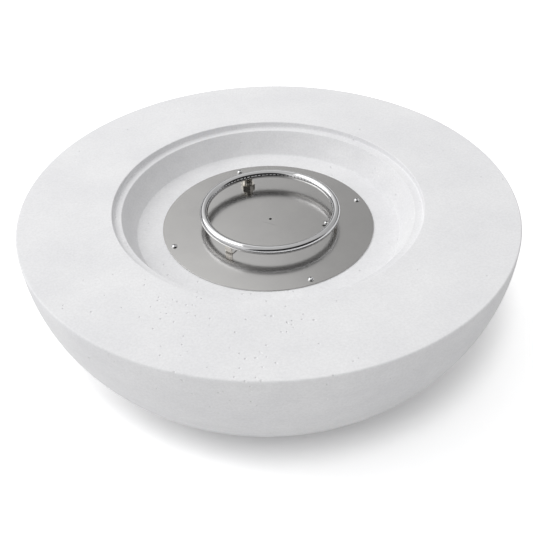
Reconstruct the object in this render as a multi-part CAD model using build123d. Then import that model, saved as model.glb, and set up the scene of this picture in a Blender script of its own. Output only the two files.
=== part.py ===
from build123d import *
from build123d.topology import SkipClean
import math
import os

# Concrete fire pit. Millimetres, +Z up, origin on the ground under the bowl's centre.
# The viewer stands on the -Y side. Angles in plan are counted from +X towards +Y.

# The cast concrete bowl
rim_diameter = 1050.0
bowl_height = 305.0
side_arc_radius = 385.0
rim_band_height = 4.0
rim_edge_radius = 3.5
base_edge_radius = 6.0
shell_wall = 38.0
rim_thickness = 38.0
pocket_corner_radius = 15.0

# The stepped recess in its top
opening_diameter = 658.0
opening_edge_radius = 2.0
step_depth = 13.0
step_cove_radius = 3.0
ledge_inner_diameter = 622.0
ledge_edge_radius = 2.5
recess_depth = 64.0
recess_floor_diameter = 568.0
floor_cove_radius = 4.0
recess_wall = 34.0
floor_thickness = 40.0
floor_opening_diameter = 380.0

# The burner pan and its four screws
pan_diameter = 457.2
pan_thickness = 2.0
pan_edge_radius = 0.6
drain_hole_diameter = 6.5
drain_hole_place = (5.0, 11.0)
pan_screw_circle = 427.0
pan_screw_angles = (20.4, 107.6, 201.8, 292.6)
pan_screw_head_diameter = 12.0
pan_screw_head_height = 4.0
pan_screw_diameter = 5.8
pan_screw_length = 16.0
insert_diameter = 10.0
insert_length = 18.0

# The ring burner
ring_outer_diameter = 304.8
ring_tube_diameter = 18.0
ring_tube_wall = 1.2
ring_lift = 27.0
ring_place = (4.3, 8.3)
port_count = 98
port_diameter = 2.6
port_rise_angle = 20.0
gas_entry_diameter = 11.0

# The threaded gas inlet under the ring
inlet_angle = 110.1
spud_diameter = 21.3
spud_bore = 15.8
spud_below_pan = 36.0
saddle_drop = 3.0
thread_pitch = 1.8
thread_depth = 0.5
top_nut_across_flats = 28.5
top_nut_height = 8.0
lower_nut_across_flats = 30.0
lower_nut_height = 9.0
inlet_washer_diameter = 36.0
inlet_washer_thickness = 2.0

# The two bent legs of the ring
leg_left_angle = -127.6
leg_right_angle = -9.0
leg_width = 17.0
leg_thickness = 2.0
leg_bend_radius = 3.0
leg_foot_length = 28.0
foot_screw_setback = 20.5
leg_screw_head_diameter = 9.6
leg_screw_head_height = 3.2
leg_screw_diameter = 4.8
leg_screw_length = 12.0
leg_nut_across_flats = 9.5
leg_nut_height = 4.0

# The gas and air mixer under the pan
mixer_socket_across_flats = 30.0
mixer_socket_depth = 18.0
mixer_throat_diameter = 26.0
mixer_throat_bore = 20.0
mixer_throat_length = 68.0
mixer_hub_diameter = 32.0
mixer_hub_height = 18.0
air_window_count = 2
air_window_width = 14.0
air_window_height = 20.0
air_window_lift = 10.0
shutter_wall = 2.0
shutter_height = 46.0
shutter_slot_lift = 39.0
shutter_travel = 75.0
lock_screw_diameter = 4.0
lock_screw_head_diameter = 9.0
lock_screw_head_height = 5.0

# The jet fitting and the bent gas tube
orifice_spigot_diameter = 16.0
orifice_spigot_length = 22.0
orifice_hex_across_flats = 22.0
orifice_hex_height = 9.0
orifice_jet_diameter = 2.2
flare_diameter = 15.8
flare_length = 13.0
flare_bore = 9.5
flare_nut_across_flats = 22.0
flare_nut_length = 22.0
gas_tube_diameter = 15.0
gas_tube_bore = 12.0
gas_tube_drop = 42.0
gas_tube_slant_along = 30.0
gas_tube_slant_down = 29.0
gas_tube_level_length = 87.0
gas_tube_turn_angle = 119.2
gas_tube_turn_height = 76.0
gas_tube_wall_distance = 24.0
gas_tube_lead = 78.0
gas_tube_bend_share = 0.45

# The key valve behind the rear wall, square to the bowl's curved side
valve_angle_below_level = 22.0
valve_distance = 100.0
barrel_diameter = 28.0
barrel_length = 68.0
gas_way_diameter = 9.0
valve_body_diameter = 32.0
valve_body_rise = 24.0
valve_body_drop = 14.0
plug_diameter = 16.0
plug_floor = 4.0
plug_height = 26.0
supply_port_diameter = 18.6
supply_port_depth = 14.0
supply_hub_diameter = 32.0
supply_hub_length = 20.0
stem_diameter = 10.0
stem_square = 7.0
stem_square_length = 16.0
stem_end_depth = 2.0
bonnet_across_flats = 30.0
bonnet_height = 12.0
bonnet_neck_length = 10.0
ring_seal_thickness = 2.4
sleeve_diameter = 22.0
sleeve_bore = 17.0
sleeve_end_rise = 1.5
wall_hole_diameter = 28.0
seat_diameter = 66.0
seat_depth = 3.0
inner_seat_diameter = 56.0
inner_seat_depth = 2.0
valve_washer_diameter = 48.0
valve_washer_thickness = 2.0
lock_nut_across_flats = 32.0
lock_nut_height = 8.0
escutcheon_diameter = 62.0
escutcheon_thickness = 3.0
escutcheon_collar_diameter = 30.0
escutcheon_collar_rise = 4.0
escutcheon_edge_radius = 1.2

# Clearances
running_gap = 0.05
thread_gap = 0.1
weld_gap = 0.1
hole_gap = 0.4
shutter_gap = 0.3
past = 20.0

# Limits of the bowl's roundings, as shares of the wall or rounding beside them
rim_rounding_share = 0.9
cove_clearance_share = 1.2

# Screw details shared by all screws
head_rim_share = 0.3
dome_share = 0.72
cross_slot_width = 1.5
cross_slot_depth = 1.6
nut_chamfer = 0.8

# Sizes that follow
rim_radius = rim_diameter / 2
arc_centre_radius = rim_radius - side_arc_radius
arc_centre_height = bowl_height - rim_band_height
opening_radius = opening_diameter / 2
ledge_radius = ledge_inner_diameter / 2
ledge_height = bowl_height - step_depth
floor_radius = recess_floor_diameter / 2
floor_top = bowl_height - recess_depth
floor_underside = floor_top - floor_thickness
pan_top = floor_top + pan_thickness
ring_tube_radius = ring_tube_diameter / 2
ring_radius = ring_outer_diameter / 2 - ring_tube_radius
ring_height = pan_top + ring_lift
foot_screw_radius = ring_radius - foot_screw_setback
spud_bottom = floor_top - spud_below_pan
mixer_top = spud_bottom + mixer_socket_depth - thread_gap
throat_top = spud_bottom - thread_gap
throat_bottom = throat_top - mixer_throat_length
mixer_bottom = throat_bottom - mixer_hub_height
gas_tube_start_height = mixer_bottom - orifice_hex_height - flare_length


def post(diameter, height):
    """Round bar that stands on its own base."""
    return Cylinder(diameter / 2, height, align=(Align.CENTER, Align.CENTER, Align.MIN))


def tube(diameter, bore, height):
    """Round bar with a hole right through."""
    return post(diameter, height) - post(bore, height)


def hex_bar(across_flats, height):
    """Six-sided bar with its end corners turned off, standing on its own base."""
    corner_diameter = across_flats / math.cos(math.radians(30))
    turned = post(corner_diameter, height)
    turned = chamfer(turned.edges().filter_by(GeomType.CIRCLE), nut_chamfer)
    return extrude(RegularPolygon(across_flats / 2, 6, major_radius=False), height) & turned


def hex_nut(across_flats, bore, height):
    """Nut with a plain bore the size of its thread."""
    return hex_bar(across_flats, height) - post(bore, height)


def in_plan(radius, angle, height=0.0):
    """Place at a radius and angle about the bowl's axis, turned with that angle."""
    return Rot(Z=angle) * Pos(X=radius, Z=height)


def on_ring(radius, angle, height=0.0):
    """The same about the ring's own axis, which stands a little off the bowl's."""
    return Pos(*ring_place) * in_plan(radius, angle, height)


def domed_screw(head_diameter, head_height, shank_diameter, shank_length):
    """Screw with a low domed head and a cross slot, its head's underside at height 0."""
    radius = head_diameter / 2
    head_rim = head_height * head_rim_share
    dome = ThreePointArc(
        (radius, head_rim),
        (radius * math.sin(math.radians(45)), head_rim + (head_height - head_rim) * dome_share),
        (0, head_height),
    )
    outline = dome + Polyline((0, head_height), (0, 0), (radius, 0), (radius, head_rim))
    screw = revolve(Plane.XZ * make_face(outline), Axis.Z)
    slot = Pos(Z=head_height) * Box(shank_diameter, cross_slot_width, 2 * cross_slot_depth)
    screw -= [slot, Rot(Z=90) * slot]
    return screw + Pos(Z=-shank_length) * post(shank_diameter, shank_length)


def side_radius(height, inset=0.0):
    """Radius of the bowl's curved side at a height, or of a surface inset from it."""
    reach = side_arc_radius - inset
    return arc_centre_radius + math.sqrt(reach**2 - (arc_centre_height - height) ** 2)


def side_arc(low, high, inset=0.0):
    """The curved side, or a surface inset from it, from one height to another."""
    heights = (low, (low + high) / 2, high)
    return ThreePointArc(*[(side_radius(height, inset), height) for height in heights])


# The key valve's own axis: it leaves the bowl square to its curved side, straight back
valve_tilt = math.radians(valve_angle_below_level)
valve_axis = (0, math.cos(valve_tilt), -math.sin(valve_tilt))


def on_valve_axis(rise):
    """Plane square to the valve's axis, at a rise from the bowl's outside, +Z outwards."""
    reach = side_arc_radius + rise
    place = (0, arc_centre_radius + reach * valve_axis[1], arc_centre_height + reach * valve_axis[2])
    return Plane(origin=place, x_dir=(1, 0, 0), z_dir=valve_axis)


def bowl_section():
    """Right half of the cut through the bowl: radius to the right, height upwards."""
    outside = make_face(
        side_arc(0, arc_centre_height)
        + Polyline(
            (rim_radius, arc_centre_height),
            (rim_radius, bowl_height),
            (0, bowl_height),
            (0, 0),
            (side_radius(0), 0),
        )
    )
    recess = Polygon(
        (0, floor_top),
        (floor_radius, floor_top),
        (ledge_radius, ledge_height),
        (opening_radius, ledge_height),
        (opening_radius, bowl_height),
        (0, bowl_height),
        align=None,
    )
    pocket_top = bowl_height - rim_thickness
    pocket_corners = [
        (side_radius(pocket_top, shell_wall), pocket_top),
        (opening_radius + recess_wall, pocket_top),
        (floor_radius + recess_wall, floor_underside),
        (floor_opening_diameter / 2, floor_underside),
    ]
    underside = make_face(
        side_arc(0, pocket_top, shell_wall)
        + Polyline(
            *pocket_corners,
            (floor_opening_diameter / 2, floor_top),
            (0, floor_top),
            (0, 0),
            (side_radius(0, shell_wall), 0),
        )
    )
    section = outside - recess - underside
    cove_room = step_depth - cove_clearance_share * opening_edge_radius
    rounded_corners = [
        (rim_radius, bowl_height, min(rim_edge_radius, rim_band_height * rim_rounding_share)),
        (opening_radius, bowl_height, opening_edge_radius),
        (opening_radius, ledge_height, min(step_cove_radius, cove_room)),
        (ledge_radius, ledge_height, ledge_edge_radius),
        (floor_radius, floor_top, floor_cove_radius),
        (side_radius(0), 0, base_edge_radius),
        (side_radius(0, shell_wall), 0, base_edge_radius),
        (*pocket_corners[0], pocket_corner_radius),
        (*pocket_corners[1], pocket_corner_radius),
        (*pocket_corners[2], pocket_corner_radius),
    ]
    for radius, height, rounding in rounded_corners:
        corner = section.vertices().sort_by_distance((radius, height))[0]
        section = fillet(corner, rounding)
    return section


def pan_screw_places(height):
    """The four screw places near the pan's edge."""
    return [in_plan(pan_screw_circle / 2, angle, height) for angle in pan_screw_angles]


def leg_places(height):
    """The two leg angles, with the radius still at the ring's axis."""
    return [on_ring(0, angle, height) for angle in (leg_left_angle, leg_right_angle)]


def build_bowl():
    """The cast bowl, with pockets for the screw inserts and the valve's hole and seats."""
    bowl = revolve(Plane.XZ * bowl_section(), Axis.Z)
    pocket = post(insert_diameter + 2 * thread_gap, insert_length + thread_gap)
    bowl -= [place * pocket for place in pan_screw_places(floor_top - insert_length - thread_gap)]
    wall_hole = on_valve_axis(-shell_wall - past) * post(wall_hole_diameter, shell_wall + 2 * past)
    outer_seat = on_valve_axis(-seat_depth) * post(seat_diameter, past)
    inner_seat = on_valve_axis(-shell_wall + inner_seat_depth - past) * post(inner_seat_diameter, past)
    return bowl - [wall_hole, outer_seat, inner_seat]


def build_pan():
    """Flat round sheet with its screw holes, inlet hole and small drain hole."""
    pan = fillet(post(pan_diameter, pan_thickness).edges().filter_by(GeomType.CIRCLE), pan_edge_radius)
    screw_hole = post(pan_screw_diameter + 2 * hole_gap, pan_thickness)
    foot_hole = post(leg_screw_diameter + 2 * hole_gap, pan_thickness)
    holes = [place * screw_hole for place in pan_screw_places(0)]
    holes += [place * Pos(X=foot_screw_radius) * foot_hole for place in leg_places(0)]
    holes.append(on_ring(ring_radius, inlet_angle) * post(spud_diameter + 2 * hole_gap, pan_thickness))
    holes.append(Pos(*drain_hole_place) * post(drain_hole_diameter, pan_thickness))
    return Pos(Z=floor_top) * (pan - holes)


def build_pan_screws():
    """The four domed screws that hold the pan down."""
    screw = domed_screw(
        pan_screw_head_diameter, pan_screw_head_height, pan_screw_diameter, pan_screw_length
    )
    return Part() + [place * screw for place in pan_screw_places(pan_top)]


def build_inserts():
    """Threaded inserts, cast into the floor flush with its top."""
    insert = tube(insert_diameter, pan_screw_diameter + 2 * thread_gap, insert_length)
    return Part() + [place * insert for place in pan_screw_places(floor_top - insert_length)]


def ring_tube(extra=0.0):
    """The ring's tube as a solid, grown all round by a gap."""
    return on_ring(0, 0, ring_height) * Torus(ring_radius, ring_tube_radius + extra)


def build_ring():
    """Hollow ring made port by port, with the gas entry above the inlet."""
    arc = 360 / port_count
    wall = Circle(ring_tube_radius) - Circle(ring_tube_radius - ring_tube_wall)
    sector = revolve(Plane.XZ * Pos(X=ring_radius) * wall, Axis.Z, revolution_arc=arc)
    rise = math.radians(port_rise_angle)
    port_plane = Plane(origin=(0, 0, 0), z_dir=(-math.cos(rise), 0, math.sin(rise)))
    port = port_plane * post(port_diameter, ring_tube_diameter)
    sector -= in_plan(ring_radius, arc / 2) * port
    entry = in_plan(ring_radius, inlet_angle, -ring_tube_diameter)
    with SkipClean():
        ring = Part() + [Rot(Z=arc * number) * sector for number in range(port_count)]
        ring -= entry * post(gas_entry_diameter, ring_tube_diameter)
    return on_ring(0, 0, ring_height) * ring


def build_spud():
    """Threaded stub, cut to the tube's round at its top."""
    top = ring_height - saddle_drop
    length = top - spud_bottom
    spud = tube(spud_diameter, spud_bore, length)
    outer = spud_diameter / 2
    groove = Polygon(
        (outer - thread_depth, 0),
        (outer + thread_depth, -thread_pitch / 2),
        (outer + thread_depth, thread_pitch / 2),
        align=None,
    )
    groove_ring = revolve(Plane.XZ * groove, Axis.Z)
    plain_top = ring_tube_radius
    turns = int((length - plain_top) / thread_pitch)
    spud -= [Pos(Z=thread_pitch * (turn + 0.5)) * groove_ring for turn in range(turns)]
    return on_inlet(spud_bottom) * spud - ring_tube(weld_gap)


def build_leg(angle):
    """Strip leg: foot on the pan turned inwards, and an upright welded under the tube."""
    strip_height = leg_thickness / 2
    path = FilletPolyline(
        (ring_radius - leg_foot_length, strip_height),
        (ring_radius, strip_height),
        (ring_radius, ring_lift),
        radius=leg_bend_radius,
    )
    leg = extrude(Plane.XZ * trace(path, leg_thickness), leg_width / 2, both=True)
    hole = Pos(X=foot_screw_radius) * post(leg_screw_diameter + 2 * thread_gap, leg_thickness)
    return on_ring(0, angle, pan_top) * (leg - hole) - ring_tube(weld_gap)


def build_leg_screws():
    """The two domed screws through the legs' feet."""
    screw = domed_screw(
        leg_screw_head_diameter, leg_screw_head_height, leg_screw_diameter, leg_screw_length
    )
    screw = Pos(X=foot_screw_radius) * screw
    return Part() + [place * screw for place in leg_places(pan_top + leg_thickness)]


def build_leg_nuts():
    """The nuts of those screws, under the pan."""
    nut = hex_nut(leg_nut_across_flats, leg_screw_diameter + 2 * thread_gap, leg_nut_height)
    nut = Pos(X=foot_screw_radius) * nut
    return Part() + [place * nut for place in leg_places(floor_top - leg_nut_height)]


def on_inlet(height):
    """Place on the inlet's own upright axis."""
    return on_ring(ring_radius, inlet_angle, height)


def window_slots(window_height, wall_diameter):
    """Cutters for the air windows, on opposite sides of an upright tube."""
    slot = Box(wall_diameter, air_window_width, window_height)
    slot = Pos(X=wall_diameter / 2) * slot
    step = 360 / air_window_count
    return [Rot(Z=step * number) * slot for number in range(air_window_count)]


def build_mixer():
    """Mixing tube: hex socket on the stub, throat with air windows, threaded hub below."""
    socket = hex_bar(mixer_socket_across_flats, mixer_top - throat_top)
    socket -= Pos(Z=thread_gap) * post(spud_diameter + 2 * thread_gap, mixer_socket_depth)
    throat = Pos(Z=throat_bottom) * post(mixer_throat_diameter, mixer_throat_length)
    hub = Pos(Z=mixer_bottom) * post(mixer_hub_diameter, mixer_hub_height)
    mixer = Pos(Z=throat_top) * socket + throat + hub
    mixer -= Pos(Z=throat_bottom) * post(mixer_throat_bore, mixer_throat_length + thread_gap)
    mixer -= Pos(Z=mixer_bottom) * post(orifice_spigot_diameter + 2 * thread_gap, mixer_hub_height)
    window_middle = throat_bottom + air_window_lift + air_window_height / 2
    mixer -= [Pos(Z=window_middle) * slot for slot in window_slots(air_window_height, mixer_hub_diameter)]
    lock_hole = Plane(origin=(0, 0, throat_bottom + shutter_slot_lift), z_dir=(0, -1, 0))
    mixer -= lock_hole * post(lock_screw_diameter + 2 * thread_gap, mixer_hub_diameter)
    return on_inlet(0) * mixer


def build_shutter():
    """Sleeve round the throat, with air windows and the slot that limits its turn."""
    bore = mixer_throat_diameter + 2 * running_gap
    outside = bore + 2 * shutter_wall
    base = throat_bottom + shutter_gap
    shutter = Pos(Z=base) * tube(outside, bore, shutter_height)
    window_middle = throat_bottom + air_window_lift + air_window_height / 2
    shutter -= [Pos(Z=window_middle) * slot for slot in window_slots(air_window_height, outside)]
    slot_height = lock_screw_diameter + 2 * hole_gap
    end_angle = math.degrees(slot_height / bore)
    slot_face = Rectangle(outside, slot_height, align=(Align.MIN, Align.CENTER))
    slot_arc = shutter_travel + 2 * end_angle
    slot = revolve(Plane.XZ * slot_face, Axis.Z, revolution_arc=slot_arc)
    slot = Pos(Z=throat_bottom + shutter_slot_lift) * Rot(Z=-90 + end_angle - slot_arc) * slot
    return on_inlet(0) * (shutter - slot)


def build_lock_screw():
    """Thumb screw through the shutter's slot into the mixer's wall."""
    start = mixer_throat_bore / 2
    under_head = mixer_throat_diameter / 2 + running_gap + shutter_wall + shutter_gap
    plane = Plane(origin=(0, 0, throat_bottom + shutter_slot_lift), z_dir=(0, -1, 0))
    shank = Pos(Z=start) * post(lock_screw_diameter, under_head - start)
    head = Pos(Z=under_head) * post(lock_screw_head_diameter, lock_screw_head_height)
    return on_inlet(0) * (plane * (shank + head))


def build_orifice():
    """Brass fitting: spigot with the jet, hex, and the flare end for the gas tube."""
    spigot = Pos(Z=mixer_bottom) * post(orifice_spigot_diameter, orifice_spigot_length)
    hexagon = hex_bar(orifice_hex_across_flats, orifice_hex_height)
    hexagon = Pos(Z=mixer_bottom - orifice_hex_height) * hexagon
    flare = Pos(Z=gas_tube_start_height) * post(flare_diameter, flare_length)
    fitting = spigot + hexagon + flare
    fitting -= Pos(Z=gas_tube_start_height) * post(flare_bore, flare_length + orifice_hex_height)
    return on_inlet(0) * (fitting - Pos(Z=mixer_bottom) * post(orifice_jet_diameter, orifice_spigot_length))


valve_centre = on_valve_axis(-valve_distance)
outlet_reach = barrel_length / 2 + flare_length
tube_start = on_inlet(gas_tube_start_height).position
tube_end = valve_centre.origin - Vector(outlet_reach, 0, 0)


def build_flare_nuts():
    """The two flare nuts that hold the gas tube's ends, over the flare and the tube."""
    nut = hex_bar(flare_nut_across_flats, flare_nut_length)
    nut -= post(flare_diameter + 2 * thread_gap, flare_length)
    nut -= post(gas_tube_diameter + 2 * thread_gap, flare_nut_length)
    lower = Plane(origin=tube_start + Vector(0, 0, flare_length), z_dir=(0, 0, -1))
    upper = Plane(origin=tube_end + Vector(flare_length, 0, 0), z_dir=(-1, 0, 0))
    return Part() + [lower * nut, upper * nut]


def gas_tube_route():
    """Corner points of the gas tube: down, level towards the wall, up, and into the valve."""
    turn_radius = side_radius(gas_tube_turn_height, shell_wall + gas_tube_wall_distance)
    turn = in_plan(turn_radius, gas_tube_turn_angle, gas_tube_turn_height).position
    outward = Vector(turn.X - tube_start.X, turn.Y - tube_start.Y, 0).normalized()
    drop_end = tube_start - Vector(0, 0, gas_tube_drop)
    slant_end = drop_end + outward * gas_tube_slant_along - Vector(0, 0, gas_tube_slant_down)
    level_end = slant_end + outward * gas_tube_level_length
    lead_start = tube_end - Vector(gas_tube_lead, 0, 0)
    return [tube_start, drop_end, slant_end, level_end, turn, lead_start, tube_end]


def bend_radii(points):
    """Bend at each corner, as large as the shorter of its two runs allows."""
    radii = []
    for before, corner, after in zip(points, points[1:], points[2:]):
        runs = (corner - before, after - corner)
        half_turn = math.radians(runs[0].get_angle(runs[1])) / 2
        shorter = min(run.length for run in runs)
        radii.append(gas_tube_bend_share * shorter / math.tan(half_turn))
    return radii


def build_gas_tube():
    """The metal gas tube along its route, with its bore."""
    points = gas_tube_route()
    radii = bend_radii(points)
    path = FilletPolyline(*points, radius=radii)
    ring = Circle(gas_tube_diameter / 2) - Circle(gas_tube_bore / 2)
    gas_tube = sweep(Plane(origin=points[0], z_dir=points[1] - points[0]) * ring, path=path)
    print("gas tube bends", [round(radius) for radius in radii], "length", round(path.length))
    print("gas tube volume over section times length", round(gas_tube.volume / (ring.area * path.length), 4))
    return gas_tube


def build_valve_body():
    """Brass body: barrel across the axis with the gas way, and the round plug housing."""
    across = Plane(origin=(0, 0, 0), z_dir=(1, 0, 0))
    barrel = across * Cylinder(barrel_diameter / 2, barrel_length)
    outlet = across * Pos(Z=-outlet_reach) * post(flare_diameter, flare_length)
    hub = across * Pos(Z=barrel_length / 2) * post(supply_hub_diameter, supply_hub_length)
    housing = Pos(Z=-valve_body_drop) * post(valve_body_diameter, valve_body_drop + valve_body_rise)
    body = barrel + outlet + hub + housing
    gas_way_length = outlet_reach + barrel_length / 2 + supply_hub_length
    body -= across * Pos(Z=-outlet_reach) * post(gas_way_diameter, gas_way_length)
    supply_mouth = barrel_length / 2 + supply_hub_length - supply_port_depth
    body -= across * Pos(Z=supply_mouth) * post(supply_port_diameter, supply_port_depth)
    plug_bore_depth = valve_body_drop - plug_floor
    plug_bore = post(plug_diameter + 2 * running_gap, plug_bore_depth + valve_body_rise)
    body -= Pos(Z=-plug_bore_depth) * plug_bore
    return valve_centre * body


plug_base = plug_floor - valve_body_drop + running_gap
plug_top = plug_base + plug_height
bonnet_base = valve_body_rise
stem_end = valve_distance - stem_end_depth


def build_valve_plug():
    """Quarter-turn plug, shut at rest, with its stem and the square end for the key."""
    plug = Pos(Z=plug_base) * post(plug_diameter, plug_height)
    gas_way = Plane(origin=(0, 0, 0), z_dir=(0, 1, 0)) * Cylinder(gas_way_diameter / 2, 2 * plug_diameter)
    plug -= gas_way
    stem = Pos(Z=plug_top) * post(stem_diameter, stem_end - stem_square_length - plug_top)
    square = Box(stem_square, stem_square, stem_square_length, align=(Align.CENTER, Align.CENTER, Align.MAX))
    return valve_centre * (plug + stem + Pos(Z=stem_end) * square)


def build_bonnet_nut():
    """Screws into the body over the plug, seals the stem and carries the sleeve."""
    spigot_length = bonnet_base - plug_top - running_gap
    spigot = Pos(Z=bonnet_base - spigot_length) * post(plug_diameter, spigot_length)
    hexagon = Pos(Z=bonnet_base) * hex_bar(bonnet_across_flats, bonnet_height)
    neck = Pos(Z=bonnet_base + bonnet_height) * post(sleeve_bore - 2 * thread_gap, bonnet_neck_length)
    bonnet = spigot + hexagon + neck
    through = spigot_length + bonnet_height + bonnet_neck_length
    bonnet -= Pos(Z=bonnet_base - spigot_length) * post(stem_diameter + 2 * running_gap, through)
    return valve_centre * (bonnet - ring_seal_groove())


def ring_seal_groove():
    """Room for the stem's ring seal, half way up the bonnet."""
    groove_height = ring_seal_thickness + 2 * thread_gap
    outside = stem_diameter + 2 * groove_height
    middle = bonnet_base + bonnet_height / 2
    return Pos(Z=middle - groove_height / 2) * tube(outside, stem_diameter, groove_height)


def build_stem_seal():
    """Rubber ring round the stem."""
    middle = bonnet_base + bonnet_height / 2
    seal = Torus(stem_diameter / 2 + ring_seal_thickness / 2 + running_gap, ring_seal_thickness / 2)
    return valve_centre * (Pos(Z=middle) * seal)


def build_sleeve():
    """Threaded tube from the bonnet out through the wall."""
    start = bonnet_base + bonnet_height - valve_distance
    return on_valve_axis(start) * tube(sleeve_diameter, sleeve_bore, sleeve_end_rise - start)


def build_valve_washer():
    """Washer against the flat seat inside the wall."""
    seat = inner_seat_depth - shell_wall
    washer = tube(valve_washer_diameter, sleeve_diameter + 2 * thread_gap, valve_washer_thickness)
    return on_valve_axis(seat - valve_washer_thickness) * washer


def build_valve_lock_nut():
    """Nut on the sleeve that pulls the flange against the wall."""
    seat = inner_seat_depth - shell_wall - valve_washer_thickness
    nut = hex_nut(lock_nut_across_flats, sleeve_diameter + 2 * thread_gap, lock_nut_height)
    return on_valve_axis(seat - lock_nut_height) * nut


def build_escutcheon():
    """Round flange on the outside, screwed on the sleeve, open for the key."""
    flange = post(escutcheon_diameter, escutcheon_thickness)
    collar = post(escutcheon_collar_diameter, escutcheon_thickness + escutcheon_collar_rise)
    plate = flange + collar
    top_edges = plate.edges().filter_by(GeomType.CIRCLE).group_by(Axis.Z)[1:]
    plate = fillet([edge for group in top_edges for edge in group], escutcheon_edge_radius)
    plate -= post(sleeve_diameter + 2 * thread_gap, escutcheon_thickness + escutcheon_collar_rise)
    return on_valve_axis(-seat_depth) * plate


pieces = {
    "concrete_bowl": build_bowl(),
    "burner_pan": build_pan(),
    "pan_screws": build_pan_screws(),
    "pan_screw_inserts": build_inserts(),
    "burner_ring": build_ring(),
    "ring_inlet_spud": build_spud(),
    "inlet_top_nut": on_inlet(pan_top)
    * hex_nut(top_nut_across_flats, spud_diameter + 2 * thread_gap, top_nut_height),
    "inlet_washer": on_inlet(floor_top - inlet_washer_thickness)
    * tube(inlet_washer_diameter, spud_diameter + 2 * thread_gap, inlet_washer_thickness),
    "inlet_lower_nut": on_inlet(floor_top - inlet_washer_thickness - lower_nut_height)
    * hex_nut(lower_nut_across_flats, spud_diameter + 2 * thread_gap, lower_nut_height),
    "ring_leg_left": build_leg(leg_left_angle),
    "ring_leg_right": build_leg(leg_right_angle),
    "leg_screws": build_leg_screws(),
    "leg_nuts": build_leg_nuts(),
    "air_mixer": build_mixer(),
    "air_shutter": build_shutter(),
    "shutter_lock_screw": build_lock_screw(),
    "orifice_fitting": build_orifice(),
    "gas_tube": build_gas_tube(),
    "flare_nuts": build_flare_nuts(),
    "valve_body": build_valve_body(),
    "valve_plug": build_valve_plug(),
    "stem_o_ring": build_stem_seal(),
    "valve_bonnet_nut": build_bonnet_nut(),
    "valve_sleeve": build_sleeve(),
    "valve_washer": build_valve_washer(),
    "valve_lock_nut": build_valve_lock_nut(),
    "valve_escutcheon": build_escutcheon(),
}

os.makedirs("parts", exist_ok=True)
for name, piece in pieces.items():
    export_step(piece, f"parts/{name}.step")
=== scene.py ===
import math

import bpy
from mathutils import Matrix, Vector


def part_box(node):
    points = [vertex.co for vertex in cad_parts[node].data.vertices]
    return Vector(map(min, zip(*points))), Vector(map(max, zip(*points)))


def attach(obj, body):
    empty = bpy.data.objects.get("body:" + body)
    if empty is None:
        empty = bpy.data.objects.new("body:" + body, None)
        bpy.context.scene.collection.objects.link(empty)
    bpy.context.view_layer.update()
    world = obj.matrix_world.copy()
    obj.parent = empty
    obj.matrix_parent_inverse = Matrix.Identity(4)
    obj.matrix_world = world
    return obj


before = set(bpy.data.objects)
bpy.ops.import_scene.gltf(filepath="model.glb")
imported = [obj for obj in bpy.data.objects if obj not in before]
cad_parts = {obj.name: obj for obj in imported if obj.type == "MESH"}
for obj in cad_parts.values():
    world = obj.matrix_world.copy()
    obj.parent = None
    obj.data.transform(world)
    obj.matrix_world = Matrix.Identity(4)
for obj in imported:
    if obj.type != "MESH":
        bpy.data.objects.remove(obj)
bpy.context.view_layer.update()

bl_info = {
    "name": "Concrete Fire Pit",
    "version": (1, 0, 0),
    "blender": (4, 5, 0),
    "location": "3D View > Sidebar > Fire Pit",
    "description": "Finishes, small pieces and studio for a round concrete fire pit",
    "category": "Object",
}

MM = 0.001

# Places read from the frame, in metres
RIM_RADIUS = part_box("concrete_bowl")[1].x
RIM_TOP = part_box("concrete_bowl")[1].z
RING_LOW, RING_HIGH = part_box("burner_ring")
RING_CENTRE = (RING_LOW + RING_HIGH) / 2
TUBE_RADIUS = (RING_HIGH.z - RING_LOW.z) / 2
TUBE_BOTTOM = RING_CENTRE.z - TUBE_RADIUS
RING_RADIUS = (RING_HIGH.x - RING_LOW.x) / 2 - TUBE_RADIUS
PAN_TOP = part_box("burner_pan")[1].z
SPUD_LOW, SPUD_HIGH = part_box("ring_inlet_spud")
SPUD_CENTRE = (SPUD_LOW + SPUD_HIGH) / 2
SPUD_RADIUS = (SPUD_HIGH.x - SPUD_LOW.x) / 2

# The legs under the ring, and the weld runs that hold them and the gas inlet
LEG_ANGLES = {"left": math.radians(-127.6), "right": math.radians(-9.0)}
LEG_WIDTH = 17 * MM
LEG_WELD_RADIUS, LEG_WELD_THICKNESS, LEG_WELD_HEIGHT = 1.4 * MM, 1.0 * MM, TUBE_BOTTOM - 0.3 * MM
INLET_WELD_THICKNESS, INLET_WELD_HEIGHT = 1.3 * MM, TUBE_BOTTOM + 1.5 * MM
WELD_OVERLAP = 0.6 * MM
WELD_SECTIONS, RIPPLE_FLATTENING = 48, 0.8

# Air pits: the size of the cells that hold one each with the pit's radius, the share of cells that
# are filled, how much of the radius is flat floor, the depth, and the step from the painted highlight
# beside a pit to the pit
AIR_PITS = ((9 * MM, 1.8 * MM), (19 * MM, 2.7 * MM))
AIR_PIT_SHARE, AIR_PIT_FLOOR, AIR_PIT_DEPTH = 0.42, 0.45, 1.3 * MM
HIGHLIGHT_TO_PIT = (-2.2 * MM, 0.9 * MM, 0.0)
TORN_SIZE, TORN_REACH = 7 * MM, 5 * MM
DRIFT_SIZE = 75 * MM
FRONT_DRIFT_CENTRE = (-0.09, -0.38, RIM_TOP)
FRONT_DRIFT_EDGE, FRONT_DRIFT_CORE, FRONT_DRIFT_SHARE = 0.32, 0.05, 0.40

# The concrete's clouds, sandy grain and trowel marks, which are level and start below the rim
CLOUD_SIZE = 160 * MM
SAND_SIZE, SAND_DEPTH = 4.5 * MM, 0.25 * MM
TROWEL_SIZE, TROWEL_DEPTH, TROWEL_FLATTENING = 85 * MM, 2.2 * MM, 2.5
TROWEL_START, TROWEL_FULL = RIM_TOP - 3 * MM, RIM_TOP - 12 * MM

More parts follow.
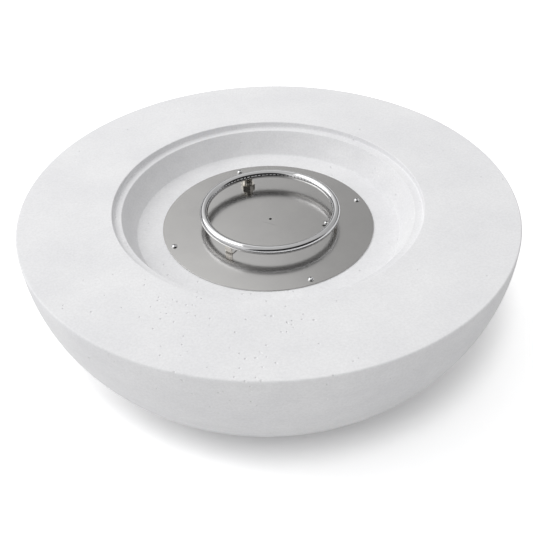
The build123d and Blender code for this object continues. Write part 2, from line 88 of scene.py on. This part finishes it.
# The pan's rolling lines, handling marks, round stain and scratch
ROLLED_WIDTH, ROLLED_LENGTH, ROLLED_DEPTH = 0.5 * MM, 90 * MM, 0.02 * MM
ROLLED_ANGLE = math.radians(8)
HANDLING_SIZE = 70 * MM
STAIN_CENTRE, STAIN_RADIUS, STAIN_WIDTH, STAIN_STRENGTH = (-0.014, 0.134, PAN_TOP), 7 * MM, 2.5 * MM, 0.22
SCRATCH_PLACE, SCRATCH_ANGLE = (0.003, -0.006, 0.0), math.radians(-28)
SCRATCH_FADE_ALONG, SCRATCH_FADE_ACROSS = (20 * MM, 12 * MM), (0.9 * MM, 0.2 * MM)

# The studio round the pit
FLOOR_RADIUS = 14.0
FLOOR_PAPER = "#E7E7E7"
# Painted shadow on the floor round the pit: its centre, where it starts to lighten, and where it is full
# white
FLOOR_SHADE_CENTRE, FLOOR_SHADE_START, FLOOR_SHADE_END = (0.0, 0.12, 0.0), 0.98 * RIM_RADIUS, 1.16 * RIM_RADIUS
KEY_DIRECTION = (-0.62, 0.25, 0.74)
SENSOR_WIDTH = 36.0
CAMERA_DISTANCE = 3.254 * RIM_RADIUS

# Parts of the sky, each from its edge to where it is full, by the direction's X, Y, Z or by the
# cosine of the angle from the part's middle
RIGHT_SIDE_X = (-0.25, 0.25)
CEILING_Z = (0.62, 0.88)
WINDOW_DIRECTION, WINDOW_COSINE = (-0.10, 0.68, 0.73), (0.982, 0.998)
REAR_Y, REAR_Z = (0.2, 0.6), (0.44, 0.28)
DARK_ROOM_DIRECTION, DARK_ROOM_COSINE, DARK_ROOM_Z = (0.45, -0.89, 0.0), (0.30, 0.55), (0.97, 0.70)


def linear(hex_colour):
    """An sRGB hex colour as the linear red, green, blue and alpha that the shaders take."""
    channels = [int(hex_colour[start:start + 2], 16) / 255 for start in (1, 3, 5)]
    curved = [c / 12.92 if c <= 0.04045 else ((c + 0.055) / 1.055) ** 2.4 for c in channels]
    return (*curved, 1.0)


def opaque(colour):
    """A colour property's three values with the alpha that the shaders take."""
    return (*colour, 1.0)


# Shader nodes

def join(tree, node, inputs):
    """Links a node's inputs to other nodes, or sets them."""
    for name, value in inputs.items():
        if isinstance(value, bpy.types.NodeSocket):
            tree.links.new(value, node.inputs[name])
        else:
            node.inputs[name].default_value = value


def add_node(tree, kind, inputs=None, **settings):
    """Adds a node with its settings and inputs."""
    new = tree.nodes.new(kind)
    for name, value in settings.items():
        setattr(new, name, value)
    join(tree, new, inputs or {})
    return new


def maths(tree, operation, *values, clamp=False):
    """A sum of one or two values."""
    new = add_node(tree, "ShaderNodeMath", dict(enumerate(values)), operation=operation, use_clamp=clamp)
    return new.outputs["Value"]


def product(tree, first, *others):
    """Several values multiplied."""
    for value in others:
        first = maths(tree, "MULTIPLY", first, value)
    return first


def vector_maths(tree, operation, first, second):
    """A sum of two vectors, or of a vector and a value to scale it by."""
    new = add_node(tree, "ShaderNodeVectorMath",
                   {0: first, "Scale" if operation == "SCALE" else 1: second}, operation=operation)
    return new.outputs["Value" if operation in ("DISTANCE", "DOT_PRODUCT") else "Vector"]


def ramp(tree, value, start, end, low=0.0, high=1.0, smooth=False):
    """Low up to the start, high from the end on, and a slope between them."""
    new = add_node(tree, "ShaderNodeMapRange",
                   {"Value": value, "From Min": start, "From Max": end, "To Min": low, "To Max": high},
                   interpolation_type="SMOOTHSTEP" if smooth else "LINEAR")
    return new.outputs["Result"]


def mix(tree, factor, first, second, kind="FLOAT"):
    """From the first value to the second as the factor goes from 0 to 1."""
    new = add_node(tree, "ShaderNodeMix", {"Factor": factor, "A": first, "B": second}, data_type=kind)
    return new.outputs["Result"]


def noise(tree, place, size, detail, roughness=0.5):
    """Soft noise whose blotches are about that size."""
    return add_node(tree, "ShaderNodeTexNoise", {"Vector": place, "Scale": 1 / size, "Detail": detail,
                                                 "Roughness": roughness}).outputs


def bump(tree, height, distance, strength, below=None, invert=False):
    """Relief of that depth, on top of the relief below it."""
    new = add_node(tree, "ShaderNodeBump", {"Height": height, "Distance": distance, "Strength": strength},
                   invert=invert)
    if below:
        join(tree, new, {"Normal": below})
    return new.outputs["Normal"]


def blank_tree(holder):
    """The empty node tree of a material or world."""
    holder.use_nodes = True
    holder.node_tree.nodes.clear()
    return holder.node_tree


def new_material(name):
    """A material with a principled shader, its tree, and the place on the piece."""
    material = bpy.data.materials.new(name)
    tree = blank_tree(material)
    shader = add_node(tree, "ShaderNodeBsdfPrincipled")
    add_node(tree, "ShaderNodeOutputMaterial", {"Surface": shader.outputs["BSDF"]})
    place = add_node(tree, "ShaderNodeTexCoord").outputs["Object"]
    return material, tree, shader, place


# Materials

def air_pits(tree, place, amount):
    """Small and larger air-bubble pits, more of them where the amount is high: 1 inside a pit."""
    layers = []
    for cell, radius in AIR_PITS:
        cells = add_node(tree, "ShaderNodeTexVoronoi", {"Vector": place, "Scale": 1 / cell})
        picked = add_node(tree, "ShaderNodeSeparateColor", {"Color": cells.outputs["Color"]})
        chosen = maths(tree, "LESS_THAN", picked.outputs["Red"],
                       maths(tree, "MULTIPLY", amount, AIR_PIT_SHARE))
        hollow = ramp(tree, cells.outputs["Distance"], radius / cell, AIR_PIT_FLOOR * radius / cell,
                      smooth=True)
        layers.append(maths(tree, "MULTIPLY", chosen, hollow))
    return maths(tree, "MAXIMUM", *layers)


def cast_concrete(look):
    """Glass-fibre concrete, cast and lightly rubbed: near white, dull, with air-bubble pits in
    drifts, a fine sandy grain, faint cloudy tone and, on the side, level trowel marks."""
    material, tree, shader, place = new_material("cast_concrete")
    height = add_node(tree, "ShaderNodeSeparateXYZ", {"Vector": place}).outputs["Z"]
    below_rim = ramp(tree, height, TROWEL_START, TROWEL_FULL)

    # Pits with torn edges, in drifts and most at the rim's front left, each with a painted highlight
    # beside it on the side away from the light
    wobble = noise(tree, place, TORN_SIZE, detail=2.0)["Color"]
    wobble = vector_maths(tree, "SUBTRACT", wobble, (0.5, 0.5, 0.5))
    torn = vector_maths(tree, "ADD", place, vector_maths(tree, "SCALE", wobble, TORN_REACH))
    drifts = noise(tree, place, DRIFT_SIZE, detail=2.5, roughness=0.6)["Fac"]
    drifts = ramp(tree, drifts, 0.56, 0.70, smooth=True)
    near_front = ramp(tree, vector_maths(tree, "DISTANCE", place, FRONT_DRIFT_CENTRE),
                      FRONT_DRIFT_EDGE, FRONT_DRIFT_CORE, high=FRONT_DRIFT_SHARE, smooth=True)
    amount = maths(tree, "ADD", drifts, near_front, clamp=True)
    pits = air_pits(tree, torn, amount)
    # Painted highlight: a lighter patch beside each pit, on its side away from the light, where the pit's
    # far wall would catch it
    beside = vector_maths(tree, "ADD", torn, HIGHLIGHT_TO_PIT)
    painted_pit_highlights = maths(tree, "SUBTRACT", air_pits(tree, beside, amount), pits, clamp=True)

    # Tone: faint clouds, darkened and lightened by the grain and the trowel, with painted shade in the
    # pits and a painted highlight beside each
    clouds = ramp(tree, noise(tree, place, CLOUD_SIZE, detail=4.0, roughness=0.6)["Fac"], 0.3, 0.7)
    ground = mix(tree, clouds, opaque(look.concrete_dark), opaque(look.concrete_light), "RGBA")
    grain = noise(tree, place, SAND_SIZE, detail=3.0, roughness=0.7)["Fac"]
    levelled = vector_maths(tree, "MULTIPLY", place, (1.0, 1.0, TROWEL_FLATTENING))
    trowel = noise(tree, levelled, TROWEL_SIZE, detail=5.0, roughness=0.62)["Fac"]
    rubbed = ramp(tree, trowel, 0.35, 0.65, low=0.975, high=1.01)
    shade = product(tree,
                    ramp(tree, grain, 0.35, 0.75, low=0.935, high=1.03),
                    mix(tree, below_rim, 1.0, rubbed),
                    # painted shade: the pits a little darker, as if shaded in their hollows
                    ramp(tree, pits, 0.0, 1.0, low=1.0, high=0.985),
                    # painted highlight beside each pit
                    ramp(tree, painted_pit_highlights, 0.0, 1.0, low=1.0, high=1.14))

    waves = bump(tree, maths(tree, "MULTIPLY", trowel, below_rim), TROWEL_DEPTH, strength=0.7)
    sand = bump(tree, grain, SAND_DEPTH, strength=0.6, below=waves)
    holes = bump(tree, pits, AIR_PIT_DEPTH, strength=1.0, below=sand, invert=True)
    join(tree, shader, {"Base Color": vector_maths(tree, "SCALE", ground, shade), "Roughness": 0.86,
                        "Specular IOR Level": 0.3, "Normal": holes})
    return material


def satin_stainless_sheet(look):
    """Type 304 sheet with a rolled satin finish: a soft mirror, with fine lines along the sheet's
    length, cloudy handling marks, one faint round stain and a short scratch by the drain hole."""
    material, tree, shader, place = new_material("satin_stainless_sheet")
    drawn_out = add_node(tree, "ShaderNodeMapping",
                         {"Vector": place, "Scale": (1 / ROLLED_WIDTH, 1 / ROLLED_LENGTH, 1.0),
                          "Rotation": (0, 0, ROLLED_ANGLE)})
    lines = noise(tree, drawn_out.outputs["Vector"], 1.0, detail=3.0)["Fac"]
    handling = noise(tree, place, HANDLING_SIZE, detail=4.0, roughness=0.6)["Fac"]

    from_stain = vector_maths(tree, "DISTANCE", place, STAIN_CENTRE)
    off_edge = maths(tree, "ABSOLUTE", maths(tree, "SUBTRACT", from_stain, STAIN_RADIUS))
    stain = ramp(tree, off_edge, STAIN_WIDTH, 0.0)
    by_scratch = add_node(tree, "ShaderNodeMapping",
                          {"Vector": place, "Location": SCRATCH_PLACE, "Rotation": (0, 0, SCRATCH_ANGLE),
                           "Scale": (1.0, 1.0, 0.0)}, vector_type="TEXTURE")
    by_scratch = add_node(tree, "ShaderNodeSeparateXYZ", {"Vector": by_scratch.outputs["Vector"]})
    on_length = ramp(tree, maths(tree, "ABSOLUTE", by_scratch.outputs["X"]), *SCRATCH_FADE_ALONG)
    on_width = ramp(tree, maths(tree, "ABSOLUTE", by_scratch.outputs["Y"]), *SCRATCH_FADE_ACROSS)
    marks = maths(tree, "MAXIMUM", maths(tree, "MULTIPLY", on_length, on_width),
                  maths(tree, "MULTIPLY", stain, STAIN_STRENGTH))

    sheen = mix(tree, handling, opaque(look.pan_dark), opaque(look.pan_light), "RGBA")
    shade = product(tree,
                    ramp(tree, lines, 0.3, 0.7, low=0.99, high=1.01),
                    ramp(tree, marks, 0.0, 1.0, low=1.0, high=0.72))
    rough = ramp(tree, lines, 0.25, 0.75, look.pan_roughness - 0.01, look.pan_roughness + 0.01)
    join(tree, shader, {"Base Color": vector_maths(tree, "SCALE", sheen, shade), "Metallic": 1.0,
                        "Roughness": rough, "Normal": bump(tree, lines, ROLLED_DEPTH, strength=0.5)})
    return material


def worked_metal(name, colour, roughness, grain_size, wave_depth, spread=0.06):
    """A metal as its making leaves it: a grain of that size in its tone and roughness."""
    material, tree, shader, place = new_material(name)
    grain = noise(tree, place, grain_size, detail=3.0, roughness=0.55)["Fac"]
    tone = ramp(tree, grain, 0.3, 0.7, 1 - spread, 1 + spread / 2)
    base = add_node(tree, "ShaderNodeRGB").outputs["Color"]
    base.default_value = colour
    rough = ramp(tree, grain, 0.3, 0.7, max(0.02, roughness * 0.8), roughness * 1.2)
    join(tree, shader, {"Base Color": vector_maths(tree, "SCALE", base, tone), "Metallic": 1.0,
                        "Roughness": rough, "Normal": bump(tree, grain, wave_depth, 0.5)})
    return material


def polished_stainless_tube(look):
    """Type 304 tube, bent and buffed: a near mirror with the long soft waves of hand buffing."""
    return worked_metal("polished_stainless_tube", opaque(look.ring_colour), look.ring_roughness,
                        grain_size=12 * MM, wave_depth=0.03 * MM, spread=0.03)


def brushed_stainless_strip(look):
    """Stainless strip, cropped and bent: lightly brushed upright, rolled smooth at the foot. The
    upright's tone is lightened as a painted reflection of the white recess wall, and the foot takes the
    pan's darker tone as painted shade under the ring.
    """
    # Tone lightened as a painted reflection of the white recess wall
    material = worked_metal("brushed_stainless_strip", linear("#EBE7E1"), roughness=0.42,
                            grain_size=1.5 * MM, wave_depth=0.03 * MM)
    tree = material.node_tree
    shader = next(found for found in tree.nodes if found.type == "BSDF_PRINCIPLED")
    place = add_node(tree, "ShaderNodeTexCoord").outputs["Object"]
    flat = vector_maths(tree, "MULTIPLY", place, (1.0, 1.0, 0.0))
    from_axis = vector_maths(tree, "DISTANCE", flat, (RING_CENTRE.x, RING_CENTRE.y, 0.0))
    upright = ramp(tree, from_axis, RING_RADIUS - 6 * MM, RING_RADIUS - 4 * MM)
    # At the foot: the pan's smoother finish, and the pan's darker tone as painted shade under the ring
    for name, at_foot, kind in (("Base Color", opaque(look.pan_dark), "RGBA"),
                                ("Roughness", look.pan_roughness, "FLOAT")):
        brushed = shader.inputs[name].links[0].from_socket
        join(tree, shader, {name: mix(tree, upright, at_foot, brushed, kind)})
    return material


def machined_stainless(look):
    """Turned and milled stainless: fine tool lines that break up its reflections."""
    return worked_metal("machined_stainless", linear("#CFCBC4"), roughness=0.15,
                        grain_size=1.2 * MM, wave_depth=0.03 * MM)


def zinc_plated_steel(look):
    """Mild steel with bright zinc: pale, slightly blue grey, a little cloudy."""
    return worked_metal("zinc_plated_steel", linear("#B9BCC0"), roughness=0.3,
                        grain_size=4 * MM, wave_depth=0.03 * MM)


def turned_brass(look):
    """Free-cutting brass, turned and milled: warm yellow with a dulled tool finish."""
    return worked_metal("turned_brass", linear("#C9A75F"), roughness=0.26,
                        grain_size=2 * MM, wave_depth=0.02 * MM)


def drawn_steel_tube(look):
    """Annealed stainless gas tube, drawn and bent: soft grey satin."""
    return worked_metal("drawn_steel_tube", linear("#BFBFC0"), roughness=0.3,
                        grain_size=3 * MM, wave_depth=0.02 * MM)


def chrome_plating(look):
    """Decorative chrome on the valve's flange: a cool mirror."""
    return worked_metal("chrome_plating", linear("#D5D7DA"), roughness=0.06,
                        grain_size=20 * MM, wave_depth=0.01 * MM, spread=0.01)


def welded_stainless(look):
    """Weld run: rippled, heat-tinted warm grey and duller than the tube."""
    return worked_metal("welded_stainless", linear("#9C948A"), roughness=0.38,
                        grain_size=1.6 * MM, wave_depth=0.35 * MM, spread=0.2)


def nitrile_rubber(look):
    """Moulded black nitrile ring: dull with a fine bloom."""
    material, tree, shader, place = new_material("nitrile_rubber")
    bloom = noise(tree, place, 1.5 * MM, detail=2.0)["Fac"]
    join(tree, shader, {"Base Color": mix(tree, bloom, linear("#161616"), linear("#232323"), "RGBA"),
                        "Roughness": 0.6})
    return material


# Which finish each CAD node takes
NODE_FINISHES = {
    cast_concrete: ("concrete_bowl",),
    satin_stainless_sheet: ("burner_pan",),
    polished_stainless_tube: ("burner_ring", "pan_screws", "leg_screws"),
    brushed_stainless_strip: ("ring_leg_left", "ring_leg_right"),
    machined_stainless: ("ring_inlet_spud", "inlet_top_nut", "inlet_washer", "inlet_lower_nut",
                         "leg_nuts", "shutter_lock_screw"),
    zinc_plated_steel: ("air_mixer", "air_shutter", "valve_sleeve", "valve_washer", "valve_lock_nut"),
    turned_brass: ("pan_screw_inserts", "orifice_fitting", "flare_nuts", "valve_body", "valve_plug",
                   "valve_bonnet_nut"),
    drawn_steel_tube: ("gas_tube",),
    chrome_plating: ("valve_escutcheon",),
    nitrile_rubber: ("stem_o_ring",),
}


# Modelling helpers

def deselect_all():
    """Leaves nothing selected, so that an operator acts on the new piece alone."""
    for piece in bpy.context.selected_objects:
        piece.select_set(False)


def take_up(piece):
    """Makes a piece the only selected and active object."""
    deselect_all()
    piece.select_set(True)
    bpy.context.view_layer.objects.active = piece


def apply_place(piece):
    """Moves the piece's place, turn and size into its mesh."""
    take_up(piece)
    bpy.ops.object.transform_apply(location=True, rotation=True, scale=True)


def dress(piece, material, body):
    """Gives a new piece its material and its body."""
    piece.data.materials.clear()
    piece.data.materials.append(material)
    take_up(piece)
    bpy.ops.object.shade_smooth_by_angle(angle=math.radians(40))
    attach(piece, body)


# Settings

def colour_setting(name, description, hex_colour):
    """A colour that a user would change."""
    return bpy.props.FloatVectorProperty(name=name, description=description, subtype="COLOR", size=3,
                                         min=0, max=1, default=linear(hex_colour)[:3])


def level_setting(name, description, default):
    """A brightness or power that a user would change."""
    return bpy.props.FloatProperty(name=name, description=description, default=default, min=0)


def roughness_setting(name, description, default):
    """How dull a metal is, as a share."""
    return bpy.props.FloatProperty(name=name, description=description, default=default,
                                   min=0.02, max=1, subtype="FACTOR")


def angle_setting(name, description, degrees):
    """An angle of the camera."""
    return bpy.props.FloatProperty(name=name, description=description, default=math.radians(degrees),
                                   subtype="ANGLE")


def length_setting(name, description, default):
    """A length in metres."""
    return bpy.props.FloatProperty(name=name, description=description, default=default, unit="LENGTH")


class FirePitLook(bpy.types.PropertyGroup):
    """Colours and finishes that a user would change."""
    concrete_light: colour_setting("Concrete light", "Lighter tone of the cast concrete", "#F1F1F2")
    concrete_dark: colour_setting("Concrete dark", "Darker tone of the cast concrete", "#E9E9EB")
    pan_light: colour_setting("Pan light", "Lighter tone of the burner pan", "#C4C3C1")
    pan_dark: colour_setting("Pan dark", "Darker tone of the burner pan", "#B6B5B4")
    pan_roughness: roughness_setting("Pan roughness", "How soft the pan's reflections are", 0.18)
    ring_colour: colour_setting("Ring colour", "Tone of the polished ring", "#DFDFE0")
    ring_roughness: roughness_setting("Ring roughness", "How soft the ring's reflections are", 0.04)


class FirePitStudio(bpy.types.PropertyGroup):
    """The photograph's camera and the studio's light."""
    # The floor's painted shadow: how white it is seen close to the pit and away from it
    floor_near: level_setting("Floor near", "How white the floor is seen close to the pit", 1.12)
    floor_far: level_setting("Floor far", "How white the floor is seen away from the pit", 1.65)
    lens: bpy.props.FloatProperty(
        name="Lens", description="Focal length in millimetres on a 36 mm sensor", default=53.98)
    distance: length_setting("Distance", "Camera to the rim's centre", CAMERA_DISTANCE)
    elevation: angle_setting("Elevation", "Camera's height angle seen from the rim's centre", 34.38)
    tip: angle_setting("Tip", "How far the camera points below the rim's centre", 4.87)
    pan: angle_setting("Pan", "How far the camera points left of the rim's centre", -0.20)
    roll: angle_setting("Roll", "How far the picture is turned", 1.43)
    key_power: level_setting("Key power", "Power of the big soft light, upper left", 135.0)
    key_distance: length_setting("Key distance", "From the pit to the big soft light", 6.0)
    key_size: length_setting("Key size", "Side of the big soft light", 5.0)
    sky_left: level_setting("Sky left", "Brightness of the studio's left side", 0.88)
    sky_right: level_setting("Sky right", "Brightness of the studio's right side", 0.46)
    sky_top: level_setting("Sky top", "Brightness of the ceiling", 0.82)
    flag: level_setting("Flag", "Brightness of the dark room that the metals reflect in front", 0.03)
    gloss_top: level_setting("Gloss top", "Brightness of the ceiling that the metals reflect", 0.58)
    gloss_rear: level_setting("Gloss rear", "Brightness of the low rear that the metals reflect", 0.12)
    gloss_window: level_setting(
        "Gloss window", "Extra brightness of the window that the pan's front reflects", 0.35)


# Operators and panel

class FIREPIT_OT_finishes(bpy.types.Operator):
    """Gives every CAD node the finish of the real piece"""
    bl_idname = "firepit.finishes"
    bl_label = "Finish the pieces"

    def execute(self, context):
        look = context.scene.fire_pit_look
        for finish, names in NODE_FINISHES.items():
            material = finish(look)
            for name in names:
                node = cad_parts[name]
                node.data.materials.clear()
                node.data.materials.append(material)
        return {"FINISHED"}


class FIREPIT_OT_welds(bpy.types.Operator):
    """Adds the weld runs where the legs and the gas inlet meet the ring"""
    bl_idname = "firepit.welds"
    bl_label = "Add the welds"

    def execute(self, context):
        material = welded_stainless(context.scene.fire_pit_look)
        for side, angle in LEG_ANGLES.items():
            bead = self.bead(context, LEG_WELD_RADIUS, LEG_WELD_THICKNESS)
            for vertex in bead.data.vertices:
                vertex.co.y += math.copysign(LEG_WIDTH / 2 - WELD_OVERLAP, vertex.co.y)
            bead.rotation_euler = (0, 0, angle)
            bead.location = (RING_CENTRE.x + RING_RADIUS * math.cos(angle),
                             RING_CENTRE.y + RING_RADIUS * math.sin(angle), LEG_WELD_HEIGHT)
            self.finish(bead, f"leg_weld_{side}", material)
        bead = self.bead(context, SPUD_RADIUS - WELD_OVERLAP, INLET_WELD_THICKNESS)
        bead.location = (SPUD_CENTRE.x, SPUD_CENTRE.y, INLET_WELD_HEIGHT)
        self.finish(bead, "inlet_weld", material)
        return {"FINISHED"}

    def bead(self, context, radius, thickness):
        """A round weld run, rippled by flattening every other section."""
        deselect_all()
        bpy.ops.mesh.primitive_torus_add(major_radius=radius, minor_radius=thickness,
                                         major_segments=WELD_SECTIONS, minor_segments=8)
        bead = context.object
        for vertex in bead.data.vertices:
            section = round(math.atan2(vertex.co.y, vertex.co.x) / math.tau * WELD_SECTIONS)
            if section % 2:
                vertex.co.z *= RIPPLE_FLATTENING
        return bead

    def finish(self, bead, name, material):
        """Names the bead and makes it part of the fixed body."""
        bead.name = name
        apply_place(bead)
        dress(bead, material, "pit")


class FIREPIT_OT_studio(bpy.types.Operator):
    """Sets the pale floor, the sky, the key light and the photograph's camera"""
    bl_idname = "firepit.studio"
    bl_label = "Set the studio"

    def execute(self, context):
        studio = context.scene.fire_pit_studio
        context.scene.view_settings.view_transform = "Standard"
        self.floor(context, studio)
        self.sky(context, studio)
        self.key_light(context, studio)
        self.camera(context, studio)
        return {"FINISHED"}

    def floor(self, context, studio):
        """A wide floor, seen white away from the pit and darker close to it as a painted shadow round the
        pit, that lights the pit as pale paper would.
        """
        deselect_all()
        bpy.ops.mesh.primitive_circle_add(vertices=96, radius=FLOOR_RADIUS, fill_type="NGON")
        floor = context.object
        floor.name = "studio_floor"
        material = bpy.data.materials.new("studio_floor")
        tree = blank_tree(material)
        rays = add_node(tree, "ShaderNodeLightPath").outputs
        seen = maths(tree, "MAXIMUM", rays["Is Camera Ray"], rays["Is Glossy Ray"])
        seen = maths(tree, "MAXIMUM", seen, rays["Is Transmission Ray"])
        place = add_node(tree, "ShaderNodeTexCoord").outputs["Object"]
        # Painted shadow: the floor is seen darker close to the pit and whiter away from it
        painted_floor_shade = ramp(tree, vector_maths(tree, "DISTANCE", place, FLOOR_SHADE_CENTRE), FLOOR_SHADE_START, FLOOR_SHADE_END,
                     studio.floor_near, studio.floor_far, smooth=True)
        tone = mix(tree, seen, linear(FLOOR_PAPER), painted_floor_shade, "RGBA")
        paper = add_node(tree, "ShaderNodeBsdfDiffuse", {"Color": tone})
        add_node(tree, "ShaderNodeOutputMaterial", {"Surface": paper.outputs["BSDF"]})
        floor.data.materials.append(material)

    def sky(self, context, studio):
        """A room lit from the left, dark behind the camera where the metals reflect it."""
        world = bpy.data.worlds.new("studio_sky")
        context.scene.world = world
        tree = blank_tree(world)
        direction = add_node(tree, "ShaderNodeTexCoord").outputs["Generated"]
        xyz = add_node(tree, "ShaderNodeSeparateXYZ", {"Vector": direction}).outputs
        is_glossy = add_node(tree, "ShaderNodeLightPath").outputs["Is Glossy Ray"]
        sides = ramp(tree, xyz["X"], *RIGHT_SIDE_X, studio.sky_left, studio.sky_right, smooth=True)
        ceiling = mix(tree, is_glossy, studio.sky_top, studio.gloss_top)
        level = mix(tree, ramp(tree, xyz["Z"], *CEILING_Z, smooth=True), sides, ceiling)

        # Only the metals reflect these: a window, a dim low rear, and the dark room in front
        to_window = vector_maths(tree, "DOT_PRODUCT", direction, WINDOW_DIRECTION)
        window = ramp(tree, to_window, *WINDOW_COSINE, high=studio.gloss_window, smooth=True)
        level = maths(tree, "ADD", level, maths(tree, "MULTIPLY", window, is_glossy))
        low_rear = product(tree, ramp(tree, xyz["Z"], *REAR_Z, smooth=True),
                           ramp(tree, xyz["Y"], *REAR_Y, smooth=True), is_glossy)
        level = mix(tree, low_rear, level, studio.gloss_rear)
        to_room = vector_maths(tree, "DOT_PRODUCT", direction, DARK_ROOM_DIRECTION)
        in_room = product(tree, ramp(tree, to_room, *DARK_ROOM_COSINE, smooth=True),
                          ramp(tree, xyz["Z"], *DARK_ROOM_Z, smooth=True), is_glossy)
        level = mix(tree, in_room, level, studio.flag)

        light = add_node(tree, "ShaderNodeBackground", {"Color": linear("#FFFFFF"), "Strength": level})
        add_node(tree, "ShaderNodeOutputWorld", {"Surface": light.outputs["Background"]})

    def key_light(self, context, studio):
        """One large soft light from the upper left, a little behind the pit."""
        deselect_all()
        place = Vector(KEY_DIRECTION).normalized() * studio.key_distance
        bpy.ops.object.light_add(type="AREA", location=place)
        key = context.object
        key.name = "key_light"
        key.data.shape = "RECTANGLE"
        key.data.size = studio.key_size
        key.data.size_y = studio.key_size
        key.data.energy = studio.key_power
        key.rotation_euler = (-place).to_track_quat("-Z", "Y").to_euler()

    def camera(self, context, studio):
        """The camera that the photograph's rim, opening and pan ellipses give."""
        rise, reach = math.sin(studio.elevation), math.cos(studio.elevation)
        right, up, ahead = Vector((1, 0, 0)), Vector((0, rise, reach)), Vector((0, reach, -rise))
        up, ahead = turned(up, ahead, -studio.tip)
        right, ahead = turned(right, ahead, studio.pan)
        right, up = turned(right, up, studio.roll)
        turn = Matrix((right, up, -ahead)).transposed().to_4x4()
        place = Vector((0, -studio.distance * reach, RIM_TOP + studio.distance * rise))
        deselect_all()
        bpy.ops.object.camera_add()
        camera = context.object
        camera.name = "photo_camera"
        camera.data.lens = studio.lens
        camera.data.sensor_width = SENSOR_WIDTH
        camera.matrix_world = Matrix.Translation(place) @ turn
        context.scene.camera = camera


def turned(first, second, angle):
    """Two axes of the camera, turned together in their own plane."""
    return (first * math.cos(angle) - second * math.sin(angle),
            first * math.sin(angle) + second * math.cos(angle))


class FIREPIT_PT_panel(bpy.types.Panel):
    """Lists the fire pit's operators and settings"""
    bl_idname = "FIREPIT_PT_panel"
    bl_label = "Fire Pit"
    bl_space_type = "VIEW_3D"
    bl_region_type = "UI"
    bl_category = "Fire Pit"

    def draw(self, context):
        layout = self.layout
        for operator in OPERATORS:
            layout.operator(operator.bl_idname)
        for group, settings in SETTINGS.items():
            for name in settings.__annotations__:
                layout.prop(getattr(context.scene, group), name)


OPERATORS = (FIREPIT_OT_finishes, FIREPIT_OT_welds, FIREPIT_OT_studio)
SETTINGS = {
    "fire_pit_look": FirePitLook,
    "fire_pit_studio": FirePitStudio,
}


def register():
    """Adds the settings, the operators and the panel."""
    for name, settings in SETTINGS.items():
        bpy.utils.register_class(settings)
        setattr(bpy.types.Scene, name, bpy.props.PointerProperty(type=settings))
    for shown in (*OPERATORS, FIREPIT_PT_panel):
        bpy.utils.register_class(shown)


def unregister():
    """Takes them away again."""
    for shown in (FIREPIT_PT_panel, *OPERATORS):
        bpy.utils.unregister_class(shown)
    for name, settings in SETTINGS.items():
        delattr(bpy.types.Scene, name)
        bpy.utils.unregister_class(settings)


def main():
    """Finishes the CAD nodes, adds the new pieces and the studio."""
    register()
    bpy.ops.firepit.finishes()
    bpy.ops.firepit.welds()
    bpy.ops.firepit.studio()


if __name__ == "__main__":
    main()
